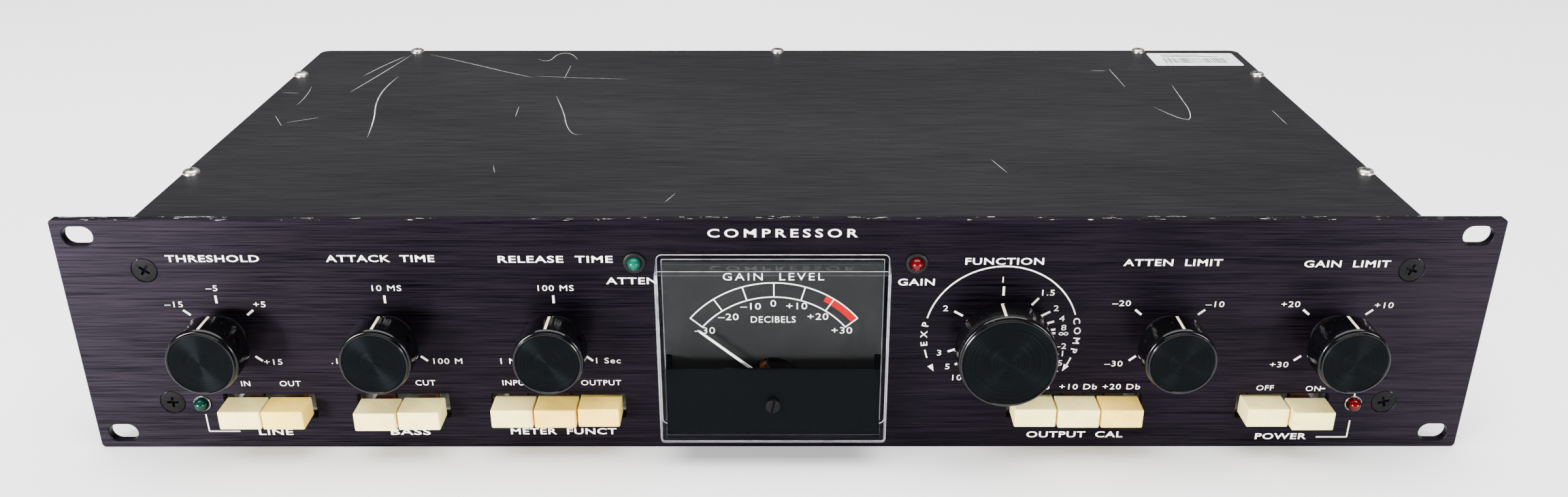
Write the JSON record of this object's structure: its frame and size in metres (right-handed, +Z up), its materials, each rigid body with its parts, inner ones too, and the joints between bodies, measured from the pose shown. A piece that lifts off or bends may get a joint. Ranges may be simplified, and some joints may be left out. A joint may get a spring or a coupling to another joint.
{
  "type": "rack compressor",
  "caption": "Rack-mount audio compressor: slotted front panel with rotary knobs, push-button banks, lamps and a moving-needle meter, on a screwed metal case with rear sockets.",
  "frame": {"origin": "centre of the rectangle of rack slots, on the front panel's back face", "axes": "+X to the right as seen from the front, +Y from the front panel towards the rear, +Z up"},
  "size_m": [0.4826, 0.2396, 0.0882],
  "materials": {
    "panel_black": "brushed and black anodised with a faint purple tint",
    "case_grey": "brushed and dark anodised",
    "black_steel": "black oxide",
    "nickel": "nickel plate",
    "knob_black": "polished",
    "shaft_steel": "turned",
    "pot_metal": "plated",
    "ivory": "satin moulded",
    "switch_grey": "moulded",
    "green_lens": "clear tinted lens",
    "red_lens": "clear tinted lens",
    "meter_black": "moulded",
    "clear_cover": "polished clear moulding",
    "dial_grey": "matt print",
    "brass": "plain",
    "needle_white": "matt paint",
    "mask_screw": "moulded",
    "socket_metal": "satin nickel",
    "board_green": "lacquered",
    "spacer_nickel": "nickel plate",
    "chip_black": "moulded",
    "can_blue": "sleeved",
    "core_steel": "lacquered laminations",
    "coil_amber": "taped winding",
    "heatsink_black": "black anodised",
    "regulator": "moulded",
    "wire": "sleeved"
  },
  "bodies": {
    "root": {"barrier_strip": "meter_black", "board_capacitors": "can_blue", "board_components": "chip_black", "board_standoffs": "spacer_nickel", "bottom_cover": "case_grey", "bushing_nuts": "nickel", "case_screws": "nickel", "front_panel": "panel_black", "fuse_holder": "meter_black", "green_lamps": "green_lens", "heatsink": "heatsink_black", "input_socket": "socket_metal", "lamp_rings": "black_steel", "main_board": "board_green", "mains_inlet": "meter_black", "meter_case": "meter_black", "meter_cover": "clear_cover", "meter_dial": "dial_grey", "meter_magnet": "brass", "meter_mask": "meter_black", "output_socket": "socket_metal", "panel_screws": "black_steel", "potentiometers": "pot_metal", "rear_panel": "case_grey", "red_lamps": "red_lens", "regulators": "regulator", "side_plates": "case_grey", "strip_screws": "nickel", "switch_banks": "switch_grey", "top_cover": "case_grey", "transformer_coil": "coil_amber", "transformer_core": "core_steel", "wiring_loom": "wire"},
    "threshold_control": {"threshold_knob": "knob_black", "threshold_shaft": "shaft_steel"},
    "attack_control": {"attack_knob": "knob_black", "attack_shaft": "shaft_steel"},
    "release_control": {"release_knob": "knob_black", "release_shaft": "shaft_steel"},
    "function_control": {"function_knob": "knob_black", "function_shaft": "shaft_steel"},
    "atten_limit_control": {"atten_limit_knob": "knob_black", "atten_limit_shaft": "shaft_steel"},
    "gain_limit_control": {"gain_limit_knob": "knob_black", "gain_limit_shaft": "shaft_steel"},
    "line_in": {"line_in_button": "ivory"},
    "line_out": {"line_out_button": "ivory"},
    "bass_normal": {"bass_normal_button": "ivory"},
    "bass_cut": {"bass_cut_button": "ivory"},
    "meter_input": {"meter_input_button": "ivory"},
    "meter_gain": {"meter_gain_button": "ivory"},
    "meter_output": {"meter_output_button": "ivory"},
    "cal_zero": {"cal_zero_button": "ivory"},
    "cal_ten": {"cal_ten_button": "ivory"},
    "cal_twenty": {"cal_twenty_button": "ivory"},
    "power_off": {"power_off_button": "ivory"},
    "power_on": {"power_on_button": "ivory"},
    "needle": {"meter_needle": "needle_white"},
    "zero_screw": {"meter_zero_screw": "mask_screw"},
    "fuse_carrier": {"fuse_cap": "meter_black"}
  },
  "joints": [
    {"name": "threshold_turn", "type": "hinge", "parent": "root", "child": "threshold_control", "pos_m": [-0.1905, -0.0132, 0.00075], "axis": [0, 1, 0], "range_deg": [-152, 148]},
    {"name": "attack_turn", "type": "hinge", "parent": "root", "child": "attack_control", "pos_m": [-0.13335, -0.0132, 0.00075], "axis": [0, 1, 0], "range_deg": [-150.5, 149.5]},
    {"name": "release_turn", "type": "hinge", "parent": "root", "child": "release_control", "pos_m": [-0.0762, -0.0132, 0.00075], "axis": [0, 1, 0], "range_deg": [-149, 151]},
    {"name": "function_turn", "type": "hinge", "parent": "root", "child": "function_control", "pos_m": [0.0762, -0.0132, 0.00075], "axis": [0, 1, 0], "range_deg": [-144, 156]},
    {"name": "atten_limit_turn", "type": "hinge", "parent": "root", "child": "atten_limit_control", "pos_m": [0.13335, -0.0132, 0.00075], "axis": [0, 1, 0], "range_deg": [-148.5, 151.5]},
    {"name": "gain_limit_turn", "type": "hinge", "parent": "root", "child": "gain_limit_control", "pos_m": [0.1905, -0.0132, 0.00075], "axis": [0, 1, 0], "range_deg": [-148.5, 151.5]},
    {"name": "line_in_press", "type": "slide", "parent": "root", "child": "line_in", "axis": [0, 1, 0], "range_m": [0, 0.0035], "stiffness_N_per_m": 200},
    {"name": "line_out_press", "type": "slide", "parent": "root", "child": "line_out", "axis": [0, 1, 0], "range_m": [0, 0.0035], "stiffness_N_per_m": 200},
    {"name": "bass_normal_press", "type": "slide", "parent": "root", "child": "bass_normal", "axis": [0, 1, 0], "range_m": [0, 0.0035], "stiffness_N_per_m": 200},
    {"name": "bass_cut_press", "type": "slide", "parent": "root", "child": "bass_cut", "axis": [0, 1, 0], "range_m": [-0.0006, 0.0029], "stiffness_N_per_m": 200},
    {"name": "meter_input_press", "type": "slide", "parent": "root", "child": "meter_input", "axis": [0, 1, 0], "range_m": [0, 0.0035], "stiffness_N_per_m": 200},
    {"name": "meter_gain_press", "type": "slide", "parent": "root", "child": "meter_gain", "axis": [0, 1, 0], "range_m": [0, 0.0035], "stiffness_N_per_m": 200},
    {"name": "meter_output_press", "type": "slide", "parent": "root", "child": "meter_output", "axis": [0, 1, 0], "range_m": [-0.0007, 0.0028], "stiffness_N_per_m": 200},
    {"name": "cal_zero_press", "type": "slide", "parent": "root", "child": "cal_zero", "axis": [0, 1, 0], "range_m": [-0.0006, 0.0029], "stiffness_N_per_m": 200},
    {"name": "cal_ten_press", "type": "slide", "parent": "root", "child": "cal_ten", "axis": [0, 1, 0], "range_m": [0, 0.0035], "stiffness_N_per_m": 200},
    {"name": "cal_twenty_press", "type": "slide", "parent": "root", "child": "cal_twenty", "axis": [0, 1, 0], "range_m": [0, 0.0035], "stiffness_N_per_m": 200},
    {"name": "power_off_press", "type": "slide", "parent": "root", "child": "power_off", "axis": [0, 1, 0], "range_m": [-0.0023, 0.0012], "stiffness_N_per_m": 200},
    {"name": "power_on_press", "type": "slide", "parent": "root", "child": "power_on", "axis": [0, 1, 0], "range_m": [0, 0.0035], "stiffness_N_per_m": 200},
    {"name": "needle_swing", "type": "hinge", "parent": "root", "child": "needle", "pos_m": [-0.0018, -0.0082, -0.01605], "axis": [0, 1, 0], "range_deg": [0, 104], "stiffness_Nm_per_rad": 0.003},
    {"name": "zero_turn", "type": "hinge", "parent": "root", "child": "zero_screw", "pos_m": [-0.0018, -0.0172, -0.01885], "axis": [0, 1, 0], "range_deg": [-60, 60]},
    {"name": "fuse_cap_turn", "type": "hinge", "parent": "root", "child": "fuse_carrier", "pos_m": [0.095, 0.2102, 0.008], "axis": [0, 1, 0], "range_deg": [0, 90]}
  ]
}
